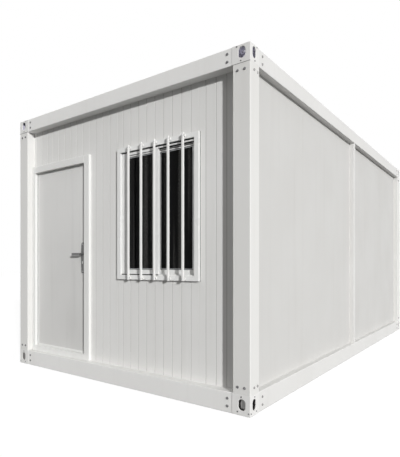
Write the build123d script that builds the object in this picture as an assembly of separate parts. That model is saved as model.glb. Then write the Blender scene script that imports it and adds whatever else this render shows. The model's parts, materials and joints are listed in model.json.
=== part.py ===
"""Flat-pack container cabin: a bolted steel frame filled with sandwich wall panels.

Frame: X is the width, with the right side at +X. Y is the length, with the door end at -Y. Z is up.
The origin is on the ground, under the middle of the cabin. All lengths are in millimetres.
"""
from build123d import *
import math
import os

# Driving dimensions of the whole cabin
cabin_width = 2990
cabin_length = 6055
cabin_height = 2896

# Steel frame
sheet = 4
bend_radius = 6
corner_width = 160
corner_length = 160
beam_set_back = 3
roof_beam_height = 145
floor_beam_height = 165
post_front_leg = 150
post_side_leg = 160
beam_seat = 30
roof_rim = 110
gutter_depth = 60
gutter_ledge = 40
floor_foot_flange = 60

# Corner castings
casting_wall = 10
hole_width = 60
hole_height = 88
hole_inset = 72
top_hole_depth = 62
bottom_hole_rise = 85
pin_hole_diameter = 44

# Wall panels
end_recess = 100
side_recess = 62
panel_thickness = 50
panel_gap = 1
side_panel_width = 1150
side_panel_count = 5
rear_panel_width = 950
rear_panel_count = 3
rib_pitch = 100
rib_edge = 75
rib_width = 9
rib_depth = 1.8
rib_slope = 0.8
mid_post_width = 60
mid_post_depth = 55
mid_post_sheet = 3

# Roof, ceiling and floor
roof_sheet_thickness = 2
roof_rib_pitch = 450
roof_rib_height = 32
roof_rib_base = 60
roof_rib_top = 26
ceiling_thickness = 15
board_thickness = 20
board_clearance = 2
joist_spacing = 800
joist_width = 50
joist_height = 120

# Door
door_opening_left = 204
door_opening_width = 844
door_lintel = 486
door_sill_height = 61
frame_proud = 32
stop_inset = 6
stop_overlap = 8
leaf_gap = 8
leaf_thickness = 38
seal_gap = 6
jamb_wall = 35
jamb_clearance = 3
frame_lap = 27
threshold_drop = 16

# Door hinges
hinge_height = 100
hinge_plate_width = 27
hinge_plate = 3
hinge_barrel_radius = 7
hinge_pin_radius = 4
hinge_pin_length = 35
hinge_stand_off = 9
hinge_play = 0.5
hinge_shares = (0.14, 0.86)

# Door handle
handle_plate_width = 50
handle_plate_end = 34
handle_plate_height = 330
handle_plate_thickness = 10
handle_plate_edge = 30
handle_height = 1293
handle_plate_drop = 40
spindle_side = 10
spindle_play = 0.5
lever_stand_off = 34
lever_depth = 16
lever_height = 22
lever_length = 121

# Window
window_pier = 408
window_edge_strip = 40
window_right_margin = 512
window_lintel = 426
window_sill = 870
window_proud = 27
window_lap = 20
window_stile = 45
window_rail = 44
pull_stile = 85
lock_stile = 40
meeting_stile = 44
sash_rail = 42
sash_depth = 25
sash_gap = 2
sash_inset = 18
track_gap = 7
track_width = 8
track_height = 10
glass_thickness = 5

# Planes that the pieces share
left = -cabin_width / 2
right = cabin_width / 2
front = -cabin_length / 2
rear = cabin_length / 2
roof_beam_bottom = cabin_height - roof_beam_height
wall_height = roof_beam_bottom - floor_beam_height
wall_outer_front = front + end_recess
wall_inner_front = wall_outer_front + panel_thickness
wall_inner_left = left + side_recess + panel_thickness
end_seat = end_recess + panel_thickness + beam_seat
side_seat = side_recess + panel_thickness + beam_seat
floor_top = floor_beam_height + board_thickness

pieces = {}


def slab(x0, x1, y0, y1, z0, z1):
    """A rectangular block between two corners."""
    return Pos((x0 + x1) / 2, (y0 + y1) / 2, (z0 + z1) / 2) * Box(x1 - x0, y1 - y0, z1 - z0)


def bent_sheet(path, thickness):
    """The section of a sheet bent along a path of right angles, with the sheet on the path's left.

    The outside of each bend is round and its inside is sharp.
    """
    runs = [(Vector(*end) - Vector(*start)).normalized() for start, end in zip(path, path[1:])]
    to_left = [Vector(-run.Y, run.X) * thickness for run in runs]
    near = [Vector(*point) for point in path]
    far = [near[0] + to_left[0]]
    near_radii = []
    far_radii = []
    for number in range(1, len(runs)):
        far.append(near[number] + to_left[number - 1] + to_left[number])
        turns_left = runs[number - 1].cross(runs[number]).Z > 0
        near_radii.append(bend_radius if turns_left else 0)
        far_radii.append(0 if turns_left else bend_radius)
    far.append(near[-1] + to_left[-1])
    edges = [
        FilletPolyline(*near, radius=near_radii),
        FilletPolyline(*far, radius=far_radii),
        Line(near[0], far[0]),
        Line(near[-1], far[-1]),
    ]
    return make_face(edges)


def other_corners(name, shape):
    """Stores a front left piece and its copies at the other three corners."""
    pieces[name + "_front_left"] = shape
    pieces[name + "_front_right"] = mirror(shape, about=Plane.YZ)
    pieces[name + "_rear_left"] = mirror(shape, about=Plane.XZ)
    pieces[name + "_rear_right"] = mirror(mirror(shape, about=Plane.YZ), about=Plane.XZ)


def casting(bottom, height, side_holes_at, end_hole_at):
    """A hollow corner casting: an oval hole in each outer side, a round pin hole in its top or bottom."""
    top = bottom + height
    block = slab(left, left + corner_width, front, front + corner_length, bottom, top)
    block -= slab(
        left + casting_wall,
        left + corner_width - casting_wall,
        front + casting_wall,
        front + corner_length - casting_wall,
        bottom + casting_wall,
        top - casting_wall,
    )
    oval = SlotOverall(hole_height, hole_width)
    across = left + hole_inset
    along = front + hole_inset
    for hole in (
        Plane((across, front, side_holes_at), x_dir=(0, 0, 1), z_dir=(0, 1, 0)),
        Plane((left, along, side_holes_at), x_dir=(0, 0, 1), z_dir=(1, 0, 0)),
    ):
        block -= extrude(hole * oval, amount=casting_wall, both=True)
    pin_hole = Cylinder(pin_hole_diameter / 2, 2 * casting_wall)
    return block - Pos(left + corner_width / 2, front + corner_length / 2, end_hole_at) * pin_hole


def corner_post():
    """A cold-bent corner post: two outer legs with returns that the wall panels stand behind."""
    path = (
        (left + post_front_leg, wall_outer_front),
        (left + post_front_leg, front),
        (left, front),
        (left, front + post_side_leg),
        (left + side_recess, front + post_side_leg),
    )
    return extrude(Plane.XY.offset(floor_beam_height) * bent_sheet(path[::-1], sheet), amount=wall_height)


def roof_section(seat):
    """Depth and height outline of a roof beam: seat flange, web, rim and gutter ledge."""
    path = (
        (seat, roof_beam_bottom),
        (0, roof_beam_bottom),
        (0, cabin_height),
        (roof_rim, cabin_height),
        (roof_rim, cabin_height - gutter_depth),
        (roof_rim + gutter_ledge, cabin_height - gutter_depth),
    )
    return bent_sheet(path[::-1], sheet)


def floor_section(seat):
    """Depth and height outline of a floor beam: foot flange, web and the seat for the walls."""
    path = (
        (floor_foot_flange, 0),
        (0, 0),
        (0, floor_beam_height),
        (seat, floor_beam_height),
    )
    return bent_sheet(path[::-1], sheet)


def beams(name, end_section, side_section):
    """Four beams between the corner castings, from the end and the side sections."""
    end_plane = Plane((left + corner_width, front + beam_set_back, 0), x_dir=(0, 1, 0), z_dir=(1, 0, 0))
    end_beam = extrude(end_plane * end_section, amount=cabin_width - 2 * corner_width)
    side_plane = Plane((left + beam_set_back, rear - corner_length, 0), x_dir=(1, 0, 0), z_dir=(0, -1, 0))
    side_beam = extrude(side_plane * side_section, amount=cabin_length - 2 * corner_length)
    pieces[name + "_front"] = end_beam
    pieces[name + "_rear"] = mirror(end_beam, about=Plane.XZ)
    pieces[name + "_left"] = side_beam
    pieces[name + "_right"] = mirror(side_beam, about=Plane.YZ)


def ribbed_panel(start, end, bottom, top, rib_at):
    """A sandwich panel along X, its outer face at Y = 0, with rolled grooves on a grid through rib_at."""
    first = math.ceil((start + rib_width - rib_at) / rib_pitch)
    last = math.floor((end - rib_width - rib_at) / rib_pitch)
    outline = [(start, panel_thickness), (start, 0)]
    for number in range(first, last + 1):
        middle = rib_at + number * rib_pitch
        outline += [
            (middle - rib_width / 2, 0),
            (middle - rib_width / 2 + rib_slope, rib_depth),
            (middle + rib_width / 2 - rib_slope, rib_depth),
            (middle + rib_width / 2, 0),
        ]
    outline += [(end, 0), (end, panel_thickness)]
    section = make_face(Polyline(*outline, close=True))
    return extrude(Plane.XY.offset(bottom) * section, amount=top - bottom)


def panel_spans(half_length, width, count):
    """Starts and ends of a centred row of panels of one width, the outer two cut or widened to the ends."""
    joints = [(number - count / 2) * width for number in range(1, count)]
    starts = [-half_length] + [joint + panel_gap / 2 for joint in joints]
    ends = [joint - panel_gap / 2 for joint in joints] + [half_length]
    return list(zip(starts, ends))


# Corner castings, roof beams, floor beams and corner posts
top_holes_at = cabin_height - top_hole_depth
other_corners("top_casting", casting(roof_beam_bottom, roof_beam_height, top_holes_at, cabin_height))
other_corners("bottom_casting", casting(0, floor_beam_height, bottom_hole_rise, 0))
other_corners("corner_post", corner_post())
beams("roof_beam", roof_section(end_seat), roof_section(side_seat))
beams("floor_beam", floor_section(end_seat), floor_section(side_seat))

# Roof sheet: a ribbed steel sheet that lies on the gutter ledges
sheet_edge = beam_set_back + roof_rim + board_clearance
sheet_x = cabin_width / 2 - sheet_edge
sheet_y = cabin_length / 2 - sheet_edge
sheet_bottom = cabin_height - gutter_depth
corner_notch_x = corner_width + board_clearance
corner_notch_y = corner_length + board_clearance
crest = [(-sheet_y, roof_sheet_thickness)]
trough = [(-sheet_y, 0)]
rib_count = int(2 * sheet_y // roof_rib_pitch)
for number in range(rib_count):
    middle = (number - (rib_count - 1) / 2) * roof_rib_pitch
    for side, width in ((-1, roof_rib_base), (-1, roof_rib_top), (1, roof_rib_top), (1, roof_rib_base)):
        rise = roof_rib_height if width == roof_rib_top else 0
        trough.append((middle + side * width / 2, rise))
        crest.append((middle + side * width / 2, rise + roof_sheet_thickness))
crest.append((sheet_y, roof_sheet_thickness))
trough.append((sheet_y, 0))
sheet_plane = Plane((-sheet_x, 0, sheet_bottom), x_dir=(0, 1, 0), z_dir=(1, 0, 0))
sheet_section = make_face(Polyline(*trough, *crest[::-1], close=True))
roof_sheet = extrude(sheet_plane * sheet_section, amount=2 * sheet_x)
for side_x in (-1, 1):
    for side_y in (-1, 1):
        notch = Box(2 * corner_notch_x, 2 * corner_notch_y, cabin_height)
        roof_sheet -= Pos(side_x * cabin_width / 2, side_y * cabin_length / 2, cabin_height) * notch
pieces["roof_sheet"] = roof_sheet

# Ceiling: boards that lie on the seat flanges of the roof beams
ceiling_x = -wall_inner_left - board_clearance
ceiling_y = cabin_length / 2 - corner_length - board_clearance
ceiling_bottom = roof_beam_bottom + sheet
pieces["ceiling"] = slab(
    -ceiling_x, ceiling_x, -ceiling_y, ceiling_y, ceiling_bottom, ceiling_bottom + ceiling_thickness
)

# Floor: channel joists between the side beams, coped under their flanges, and the board on top
board_y = -wall_inner_front - board_clearance
pieces["floor_board"] = slab(-ceiling_x, ceiling_x, -board_y, board_y, floor_beam_height, floor_top)
joist_half = cabin_width / 2 - beam_set_back - sheet
joist_bottom = floor_beam_height - joist_height
joist = slab(-joist_half, joist_half, 0, joist_width, joist_bottom, floor_beam_height)
joist -= slab(-joist_half, joist_half, sheet, joist_width, joist_bottom + sheet, floor_beam_height - sheet)
for side in (-1, 1):
    cope_length = beam_set_back + side_seat + board_clearance
    cope = Box(2 * cope_length, joist_spacing, 2 * (sheet + board_clearance))
    joist -= Pos(side * cabin_width / 2, 0, floor_beam_height) * cope
joist_count = int((2 * board_y - joist_width) // joist_spacing)
joists = [
    Pos(0, (number - (joist_count - 1) / 2) * joist_spacing, 0) * joist for number in range(joist_count)
]
pieces["floor_joists"] = Compound(children=joists)

# Side walls of plain panels, and a rear wall of ribbed ones
side_face = right - side_recess
side_panels = [
    slab(side_face - panel_thickness, side_face, start, end, floor_beam_height, roof_beam_bottom)
    for start, end in panel_spans(-wall_outer_front, side_panel_width, side_panel_count)
]
pieces["right_wall"] = Compound(children=side_panels)
pieces["left_wall"] = Compound(children=[mirror(panel, about=Plane.YZ) for panel in side_panels])
rear_face = Location((0, rear - end_recess, 0), (0, 0, 180))
rear_rib = rear_panel_width * (1 - rear_panel_count / 2) + rib_edge
rear_panels = [
    rear_face * ribbed_panel(start, end, floor_beam_height, roof_beam_bottom, rear_rib)
    for start, end in panel_spans(-wall_inner_left, rear_panel_width, rear_panel_count)
]
pieces["rear_wall"] = Compound(children=rear_panels)

# Mid posts: a bent post on the outside of each long wall, between the roof beam and the floor beam
mid_path = (
    (mid_post_width / 2, 0),
    (mid_post_width / 2, mid_post_depth),
    (-mid_post_width / 2, mid_post_depth),
    (-mid_post_width / 2, 0),
)
mid_plane = Plane((side_face, 0, floor_beam_height), x_dir=(0, -1, 0), z_dir=(0, 0, 1))
mid_post = extrude(mid_plane * bent_sheet(mid_path, mid_post_sheet), amount=wall_height)
pieces["mid_post_right"] = mid_post
pieces["mid_post_left"] = mirror(mid_post, about=Plane.YZ)

# Front wall, split round the door and the window
door_left = left + door_opening_left
door_right = door_left + door_opening_width
door_top = roof_beam_bottom - door_lintel
sill_top = floor_beam_height + door_sill_height
reveal_left = door_left - stop_overlap - leaf_gap
reveal_right = door_right + stop_overlap + leaf_gap
reveal_top = door_top + stop_overlap + leaf_gap
frame_left = left + post_front_leg + jamb_clearance
frame_right = reveal_right + jamb_wall + frame_lap
frame_top = reveal_top + jamb_wall + frame_lap
cut_right = reveal_right + jamb_wall + panel_gap
cut_top = reveal_top + jamb_wall + panel_gap
pier_end = cut_right + window_pier
hole_left = pier_end + window_edge_strip
window_x = hole_left - window_lap
window_end = right - window_right_margin
hole_right = window_end - window_lap
window_top = roof_beam_bottom - window_lintel
window_bottom = floor_beam_height + window_sill
hole_bottom = window_bottom + window_lap
hole_top = window_top - window_lap
pier_rib = cut_right + rib_pitch
window_rib = pier_end + rib_edge
right_rib = hole_right + rib_edge
low = floor_beam_height
high = roof_beam_bottom
front_face = Pos(0, wall_outer_front, 0)
for name, start, end, bottom, top, rib_at in (
    ("front_wall_door_strip", wall_inner_left, frame_left - panel_gap, low, high, pier_rib),
    ("front_wall_over_door", frame_left, cut_right - panel_gap, cut_top, high, pier_rib),
    ("front_wall_pier", cut_right, pier_end - panel_gap, low, high, pier_rib),
    ("front_wall_over_window", pier_end, hole_right, hole_top + panel_gap, high, window_rib),
    ("front_wall_right", hole_right + panel_gap, -wall_inner_left, low, high, right_rib),
):
    pieces[name] = front_face * ribbed_panel(start, end, bottom, top, rib_at)
under_window = front_face * ribbed_panel(pier_end, hole_right, low, hole_bottom - panel_gap, window_rib)
beside_window = front_face * ribbed_panel(pier_end, hole_left - panel_gap, hole_bottom, hole_top, window_rib)
pieces["front_wall_under_window"] = Compound(children=[under_window, beside_window])

# Door frame: rebated jambs, head and threshold, with the stops on the outside
frame_face = wall_outer_front - frame_proud
stop_back = wall_outer_front + stop_inset
leaf_front = stop_back + seal_gap
leaf_back = leaf_front + leaf_thickness
insert_top = frame_top - frame_lap
insert_right = frame_right - frame_lap
pieces["door_jamb_left"] = (
    slab(frame_left, door_left, frame_face, wall_outer_front, low, frame_top)
    + slab(frame_left, door_left, wall_outer_front, stop_back, low, insert_top)
    + slab(frame_left, reveal_left, stop_back, leaf_back, low, insert_top)
)
pieces["door_jamb_right"] = (
    slab(door_right, frame_right, frame_face, wall_outer_front, low, frame_top)
    + slab(door_right, insert_right, wall_outer_front, stop_back, low, insert_top)
    + slab(reveal_right, insert_right, stop_back, leaf_back, low, insert_top)
)
pieces["door_head"] = (
    slab(door_left, door_right, frame_face, wall_outer_front, door_top, frame_top)
    + slab(door_left, door_right, wall_outer_front, stop_back, door_top, insert_top)
    + slab(reveal_left, reveal_right, stop_back, leaf_back, reveal_top, insert_top)
)
pieces["door_threshold"] = slab(door_left, door_right, frame_face, stop_back, low, sill_top) + slab(
    reveal_left, reveal_right, stop_back, wall_inner_front, low, sill_top - threshold_drop
)

# Door leaf, with a hole for the handle spindle
leaf_left = reveal_left + leaf_gap
leaf_right = reveal_right - leaf_gap
leaf_bottom = sill_top - threshold_drop + leaf_gap
leaf_top = reveal_top - leaf_gap
handle_x = door_right - handle_plate_edge - handle_plate_width / 2
leaf_middle = (leaf_front + leaf_back) / 2
spindle_plane = Plane((handle_x, leaf_middle, handle_height), x_dir=(1, 0, 0), z_dir=(0, -1, 0))
plate_reach = leaf_thickness / 2 + handle_plate_thickness
spindle_hole_radius = math.hypot(spindle_side, spindle_side) / 2 + spindle_play
spindle_hole = extrude(spindle_plane * Circle(spindle_hole_radius), amount=plate_reach, both=True)
leaf = slab(leaf_left, leaf_right, leaf_front, leaf_back, leaf_bottom, leaf_top)
pieces["door_leaf"] = leaf - spindle_hole

# Handle plates on both faces of the leaf, and one lever on each end of the spindle
leaf_plane = Plane((0, leaf_middle, 0), z_dir=(0, 1, 0))
plate_plane = Plane(
    (handle_x, leaf_front, handle_height - handle_plate_drop), x_dir=(0, 0, 1), z_dir=(0, -1, 0)
)
end_radius = handle_plate_end / 2
end_start = handle_plate_height / 2 - end_radius
half_outline = [
    ThreePointArc((-end_start, end_radius), (0, handle_plate_width / 2), (end_start, end_radius)),
    ThreePointArc((end_start, end_radius), (handle_plate_height / 2, 0), (end_start, -end_radius)),
]
outline = half_outline + [Rot(0, 0, 180) * edge for edge in half_outline]
plate = extrude(plate_plane * make_face(outline), amount=handle_plate_thickness) - spindle_hole
pieces["door_handle_plates"] = Compound(children=[plate, mirror(plate, about=leaf_plane)])
neck_radius = lever_height / 2
neck_start = plate_reach + spindle_play
spindle = extrude(spindle_plane * Rectangle(spindle_side, spindle_side), amount=neck_start, both=True)
neck = extrude(spindle_plane.offset(neck_start) * Circle(neck_radius), amount=lever_stand_off + lever_depth)
grip_outline = Pos(-lever_length / 2) * Rectangle(lever_length, lever_height)
grip = extrude(spindle_plane.offset(neck_start + lever_stand_off) * grip_outline, amount=lever_depth)
outer_lever = neck + grip
pieces["door_lever"] = spindle + outer_lever + mirror(outer_lever, about=leaf_plane)

# Lift-off hinges on the inner face: the pin stands on the frame half and the door half turns on it
hinge_x = (reveal_left + leaf_left) / 2
hinge_y = leaf_back + hinge_stand_off
upright = (Align.CENTER, Align.CENTER, Align.MIN)
frame_halves = []
door_halves = []
for share in hinge_shares:
    middle = leaf_bottom + share * (leaf_top - leaf_bottom)
    base = middle - hinge_height / 2
    top = middle + hinge_height / 2
    knuckle_height = hinge_height / 2 - hinge_play
    knuckle = Cylinder(hinge_barrel_radius, knuckle_height, align=upright)
    pin = Cylinder(hinge_pin_radius, hinge_pin_length, align=upright)
    bore = Cylinder(hinge_pin_radius + hinge_play, hinge_pin_length + hinge_play, align=upright)
    plate_edge = hinge_barrel_radius + hinge_play
    plate_end = plate_edge + hinge_plate_width
    plate_back = leaf_back + hinge_plate
    frame_half = slab(hinge_x - plate_end, hinge_x - plate_edge, leaf_back, plate_back, base, top)
    frame_half += slab(hinge_x - plate_edge, hinge_x, leaf_back, hinge_y, base, base + knuckle_height)
    frame_half += Pos(hinge_x, hinge_y, base) * knuckle
    frame_half += Pos(hinge_x, hinge_y, base + knuckle_height) * pin
    door_base = middle + hinge_play
    door_half = slab(hinge_x + plate_edge, hinge_x + plate_end, leaf_back, plate_back, base, top)
    door_half += slab(hinge_x, hinge_x + plate_edge, leaf_back, hinge_y, door_base, top)
    door_half += Pos(hinge_x, hinge_y, door_base) * knuckle
    door_half -= Pos(hinge_x, hinge_y, door_base) * bore
    frame_halves.append(frame_half)
    door_halves.append(door_half)
pieces["hinge_frame_halves"] = Compound(children=frame_halves)
pieces["hinge_door_halves"] = Compound(children=door_halves)

# Sliding window: an outer frame with two tracks, two sashes and their panes
window_face_y = wall_outer_front - window_proud
light_left = window_x + window_stile
light_right = window_end - window_stile
light_bottom = window_bottom + window_rail
light_top = window_top - window_rail
window_frame = slab(window_x, window_end, window_face_y, wall_outer_front, window_bottom, window_top)
window_frame += slab(hole_left, hole_right, wall_outer_front, wall_inner_front, hole_bottom, hole_top)
window_frame -= slab(light_left, light_right, window_face_y, wall_inner_front, light_bottom, light_top)
meeting = (light_left + light_right) / 2
sash_bottom = light_bottom + track_height
sash_top = light_top - track_height - sash_gap
sashes = []
panes = []
for number, (start, end, left_stile, right_stile) in enumerate(
    (
        (light_left + sash_gap, meeting + meeting_stile / 2, pull_stile, meeting_stile),
        (meeting - meeting_stile / 2, light_right - sash_gap, meeting_stile, lock_stile),
    )
):
    near = window_face_y + sash_inset + number * (sash_depth + track_gap)
    far = near + sash_depth
    rib_near = near + (sash_depth - track_width) / 2
    rib_far = rib_near + track_width
    window_frame += slab(light_left, light_right, rib_near, rib_far, light_bottom, sash_bottom)
    window_frame += slab(light_left, light_right, rib_near, rib_far, light_top - track_height, light_top)
    sight = (start + left_stile, end - right_stile, sash_bottom + sash_rail, sash_top - sash_rail)
    sash = slab(start, end, near, far, sash_bottom, sash_top)
    sashes.append(sash - slab(sight[0], sight[1], near, far, sight[2], sight[3]))
    glass_near = near + (sash_depth - glass_thickness) / 2
    panes.append(slab(sight[0], sight[1], glass_near, glass_near + glass_thickness, sight[2], sight[3]))
pieces["window_frame"] = window_frame
pieces["window_sashes"] = Compound(children=sashes)
pieces["window_panes"] = Compound(children=panes)

os.makedirs("parts", exist_ok=True)
for name, shape in pieces.items():
    shape.label = name
    export_step(shape, f"parts/{name}.step")
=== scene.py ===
import json
import math

import bmesh
import bpy
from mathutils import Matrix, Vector


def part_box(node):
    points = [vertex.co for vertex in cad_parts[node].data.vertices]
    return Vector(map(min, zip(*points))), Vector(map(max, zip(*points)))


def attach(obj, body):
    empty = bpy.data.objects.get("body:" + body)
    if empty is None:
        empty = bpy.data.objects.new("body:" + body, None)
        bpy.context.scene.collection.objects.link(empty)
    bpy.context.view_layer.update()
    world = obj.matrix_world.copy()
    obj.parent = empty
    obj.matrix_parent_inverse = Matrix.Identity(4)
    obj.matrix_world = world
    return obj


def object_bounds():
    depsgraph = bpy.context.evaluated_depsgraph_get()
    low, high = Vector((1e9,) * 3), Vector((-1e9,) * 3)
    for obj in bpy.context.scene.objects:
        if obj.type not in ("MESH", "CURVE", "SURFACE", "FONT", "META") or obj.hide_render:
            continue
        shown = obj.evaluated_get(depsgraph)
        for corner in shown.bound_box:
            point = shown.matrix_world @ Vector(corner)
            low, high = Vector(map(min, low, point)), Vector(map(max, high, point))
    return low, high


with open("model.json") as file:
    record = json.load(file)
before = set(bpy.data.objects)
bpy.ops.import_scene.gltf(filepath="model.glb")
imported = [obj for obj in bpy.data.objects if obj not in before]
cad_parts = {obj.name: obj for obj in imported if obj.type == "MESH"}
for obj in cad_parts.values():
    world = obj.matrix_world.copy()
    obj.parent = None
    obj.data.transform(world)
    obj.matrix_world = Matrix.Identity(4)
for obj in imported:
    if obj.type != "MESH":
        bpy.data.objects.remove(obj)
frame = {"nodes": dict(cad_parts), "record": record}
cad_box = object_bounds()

# Floor frame: hollow corner castings with channel beams bolted between them.
# Castings are welded up from plate and beams are folded from sheet steel, then blasted,
# primed and sprayed with white satin paint before the cabin is put together.


def feed(tree, socket, value):
    """Links a socket to another one, or sets it to a plain value."""
    if isinstance(value, bpy.types.NodeSocket):
        tree.links.new(value, socket)
    else:
        socket.default_value = value


def pick(sockets, name):
    """The socket of that name which the node's settings leave in use."""
    return next(socket for socket in sockets if socket.name == name and socket.enabled)


def add_node(tree, kind, values=None, **settings):
    """Puts a node in a tree with its settings, and feeds its sockets by name."""
    node = tree.nodes.new(kind)
    for name, value in settings.items():
        setattr(node, name, value)
    for name, value in (values or {}).items():
        feed(tree, pick(node.inputs, name), value)
    return node


def math_on(tree, operation, first, second):
    """A sum, product or the like of two values, each a socket or a number."""
    node = add_node(tree, "ShaderNodeMath", operation=operation)
    feed(tree, node.inputs[0], first)
    feed(tree, node.inputs[1], second)
    return node.outputs[0]


def spread(tree, value, given, wanted=(0.0, 1.0)):
    """Maps the given range of a value to the wanted one, and holds it at the ends."""
    limits = {"From Min": given[0], "From Max": given[1], "To Min": wanted[0], "To Max": wanted[1]}
    return add_node(tree, "ShaderNodeMapRange", {"Value": value, **limits}).outputs["Result"]


def noise(tree, place, scale, detail, stretch=None):
    """Noise over the object's own coordinates, stretched along an axis where that is asked for."""
    if stretch:
        mapping = add_node(tree, "ShaderNodeMapping", {"Vector": place, "Scale": stretch})
        place = mapping.outputs["Vector"]
    pattern = {"Vector": place, "Scale": scale, "Detail": detail}
    return add_node(tree, "ShaderNodeTexNoise", pattern).outputs["Fac"]


def blend(tree, share, first, second):
    """The colour that lies a share of the way from the first to the second."""
    sides = {"Factor": share, "A": first, "B": second}
    return pick(add_node(tree, "ShaderNodeMix", sides, data_type="RGBA").outputs, "Result")


def emboss(tree, height, strength, depth):
    """A bump from a height between 0 and 1, as deep as is asked for."""
    relief = {"Height": height, "Strength": strength, "Distance": depth}
    return add_node(tree, "ShaderNodeBump", relief).outputs["Normal"]


def new_finish(name):
    """A new material, with its tree and the object's own coordinates."""
    material = bpy.data.materials.new(name)
    material.use_nodes = True
    tree = material.node_tree
    return material, tree, add_node(tree, "ShaderNodeTexCoord").outputs["Object"]


def lay_coat(tree, looks):
    """Gives a material's shader its looks, each by the name of the shader's socket."""
    for name, value in looks.items():
        feed(tree, pick(tree.nodes["Principled BSDF"].inputs, name), value)


def sprayed_paint(name, clean, dusty, roughness=0.36, foot_soil=0.12, soil_top=0.30, painted_light_coat=None):
    """Sprayed paint with orange peel, rain streaks and soil, and a coat of painted light or shade where
    its test says so.
    """
    material, tree, place = new_finish(name)
    cloud = noise(tree, place, scale=1.4, detail=4.0)
    rain = noise(tree, place, scale=11.0, detail=3.0, stretch=(1.0, 1.0, 0.05))
    streaks = spread(tree, rain, (0.55, 0.8), (0.0, 0.35))
    patches = spread(tree, cloud, (0.35, 0.7), (0.0, 0.3))
    axes = add_node(tree, "ShaderNodeSeparateXYZ", {"Vector": place}).outputs
    soil = spread(tree, axes["Z"], (soil_top, 0.0), (0.0, foot_soil))
    dust_share = math_on(tree, "ADD", math_on(tree, "ADD", streaks, patches), soil)
    coat = blend(tree, dust_share, clean, dusty)
    # painted light or shade: an extra colour laid where the test marks the hollows of the castings or the
    # floors of the grooves
    if painted_light_coat:
        colour, where = painted_light_coat
        coat = blend(tree, where(tree, axes), coat, colour)
    peel = noise(tree, place, scale=240.0, detail=2.0)
    dullest = roughness + 0.12
    lay_coat(tree, {
        "Base Color": coat,
        "Roughness": spread(tree, cloud, (0.3, 0.7), (roughness, dullest)),
        "Normal": emboss(tree, peel, strength=0.12, depth=0.0006),
        "Specular IOR Level": 0.04,
    })
    return material


def depth_behind(tree, place, face):
    """How far a place lies behind the nearer of two faces that stand equally far from the middle."""
    return math_on(tree, "SUBTRACT", face, math_on(tree, "ABSOLUTE", place, 0.0))


cabin_high = cad_box[1]
casting_wall = 0.010


def inside_casting(tree, axes):
    """1 on the inner faces of the castings, where painted shade or painted sky light is laid."""
    depth = math_on(tree, "MINIMUM", axes["Z"], math_on(tree, "SUBTRACT", cabin_high.z, axes["Z"]))
    for axis, face in (("X", cabin_high.x), ("Y", cabin_high.y)):
        depth = math_on(tree, "MINIMUM", depth, depth_behind(tree, axes[axis], face))
    return spread(tree, depth, (0.8 * casting_wall, 0.95 * casting_wall))


def nodes_called(*starts):
    """The CAD nodes whose names start with one of these words."""
    return [piece for name, piece in frame["nodes"].items() if name.startswith(starts)]


def finish_nodes(material, *starts):
    """Gives a finish to every CAD node whose name starts with one of these words."""
    for piece in nodes_called(*starts):
        piece.data.materials.clear()
        piece.data.materials.append(material)


def ease_edges(radius, *starts):
    """Rounds the sharp edges of the CAD nodes whose names start with one of these words."""
    for piece in nodes_called(*starts):
        weld = piece.modifiers.new("weld", "WELD")
        weld.merge_threshold = 0.00002
        bevel = piece.modifiers.new("eased edges", "BEVEL")
        bevel.width = radius
        bevel.segments = 2
        bevel.limit_method = "ANGLE"
        bevel.angle_limit = math.radians(40)


frame_white = (0.80, 0.795, 0.78, 1.0)
frame_dust = (0.73, 0.72, 0.70, 1.0)
frame_paint = sprayed_paint("white frame paint", frame_white, frame_dust)
finish_nodes(frame_paint, "floor_beam_front", "floor_beam_rear")
# painted shade: the long beams on the sides take a darker copy of the frame white, against the stronger
# light on the sides
long_beam_shaded_white = (0.715, 0.71, 0.695, 1.0)
long_beam_dust = (0.66, 0.65, 0.63, 1.0)
long_beam_paint = sprayed_paint("white long beam paint", long_beam_shaded_white, long_beam_dust, roughness=0.38)
finish_nodes(long_beam_paint, "floor_beam_left", "floor_beam_right")
casting_white = (0.76, 0.755, 0.74, 1.0)
casting_dust = (0.69, 0.68, 0.66, 1.0)
# painted shade: the inner faces of the bottom castings take a dark grey for the shade inside the hollow
hollow_shade_grey = (0.28, 0.275, 0.27, 1.0)
bottom_paint = sprayed_paint(
    "white bottom casting paint", casting_white, casting_dust, painted_light_coat=(hollow_shade_grey, inside_casting)
)
finish_nodes(bottom_paint, "bottom_casting")
casting_edge_radius = 0.003
ease_edges(casting_edge_radius, "bottom_casting")

# Floor joists: cold-formed channels under the board, between the side beams.
# Galvanised sheet steel, left bare, with the crystal spangle of the zinc bath.


def galvanised(name, light, dark):
    """Bare zinc: crystals of slightly different greys, dulled in patches."""
    material, tree, place = new_finish(name)
    crystals = add_node(tree, "ShaderNodeTexVoronoi", {"Vector": place, "Scale": 120.0}).outputs["Color"]
    grey = add_node(tree, "ShaderNodeSeparateColor", {"Color": crystals}).outputs["Red"]
    patches = noise(tree, place, scale=14.0, detail=3.0)
    lay_coat(tree, {
        "Base Color": blend(tree, grey, dark, light),
        "Roughness": spread(tree, patches, (0.3, 0.7), (0.38, 0.6)),
        "Normal": emboss(tree, grey, strength=0.1, depth=0.0003),
        "Metallic": 0.85,
    })
    return material


zinc = galvanised("galvanised zinc", (0.62, 0.63, 0.64, 1.0), (0.45, 0.46, 0.47, 1.0))
finish_nodes(zinc, "floor_joists")

# Floor board: sheets of film-faced plywood screwed to the joists.
# Birch veneers with a brown resin film that is rubbed pale in use.


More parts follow.
